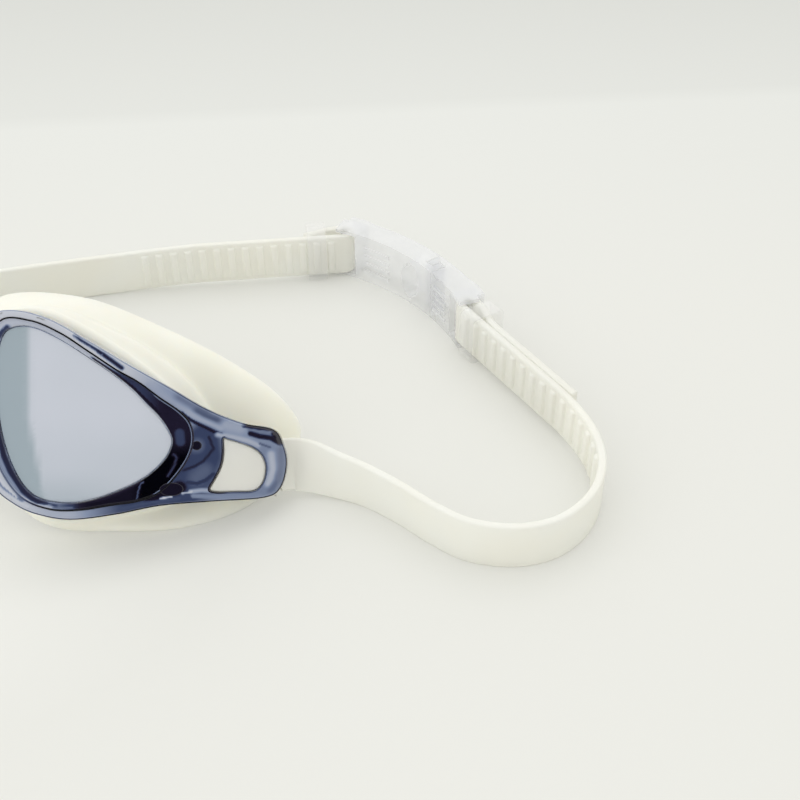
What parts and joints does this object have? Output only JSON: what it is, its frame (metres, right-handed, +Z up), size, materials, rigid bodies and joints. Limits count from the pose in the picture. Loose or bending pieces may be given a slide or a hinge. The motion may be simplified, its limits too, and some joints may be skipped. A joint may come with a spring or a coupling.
{
  "type": "swimming goggles",
  "caption": "Swimming goggles with tinted lenses in slim frames, soft face gaskets, a nose bridge and a ribbed silicone strap closed by a clear clasp.",
  "frame": {"origin": "middle of the whole object's box, on the surface that it rests on", "axes": "+X to the wearer's left, -Y to the front where the lenses face, +Z up from the table"},
  "size_m": [0.2553, 0.1284, 0.0511],
  "materials": {
    "frame_tint": "clear polycarbonate, tinted smoke blue, polished",
    "lens_tint": "clear polycarbonate lens cup, tinted smoke blue, polished",
    "film": "thin protective film, slightly hazy",
    "gasket_silicone": "soft silicone, off-white, satin",
    "bridge_silicone": "firm silicone, off-white, satin",
    "strap_silicone": "silicone band, warm off-white, satin",
    "clasp_clear": "clear polycarbonate, polished",
    "keeper_clear": "clear flexible plastic, satin"
  },
  "bodies": {
    "front": {"left_frame": "frame_tint", "right_frame": "frame_tint", "nose_bridge": "bridge_silicone", "left_lens": "lens_tint", "right_lens": "lens_tint", "left_film": "film", "right_film": "film", "left_gasket": "gasket_silicone", "right_gasket": "gasket_silicone", "left_strap_anchor": "strap_silicone", "right_strap_anchor": "strap_silicone"},
    "strap_loop": {"left_strap": "strap_silicone", "right_strap": "strap_silicone", "clasp_eye": "clasp_clear"},
    "hook_side": {"left_strap_end": "strap_silicone", "clasp_hook": "clasp_clear"},
    "left_keeper_loop": {"left_keeper": "keeper_clear"},
    "right_keeper_loop": {"right_keeper": "keeper_clear"}
  },
  "joints": [
    {"name": "strap_swing", "type": "hinge", "parent": "front", "child": "strap_loop", "pos_m": [-0.02649, -0.03694, 0.00697], "axis": [1, 0, 0], "range_deg": [-20, 60]},
    {"name": "clasp_release", "type": "slide", "parent": "strap_loop", "child": "hook_side", "axis": [0.8261, 0.5635, 0], "range_m": [0, 0.006]},
    {"name": "left_keeper_slide", "type": "slide", "parent": "hook_side", "child": "left_keeper_loop", "axis": [0.5373, -0.8434, 0], "range_m": [0, 0.02]},
    {"name": "right_keeper_slide", "type": "slide", "parent": "strap_loop", "child": "right_keeper_loop", "axis": [-0.9925, -0.1219, 0], "range_m": [-0.0015, 0.015]}
  ]
}
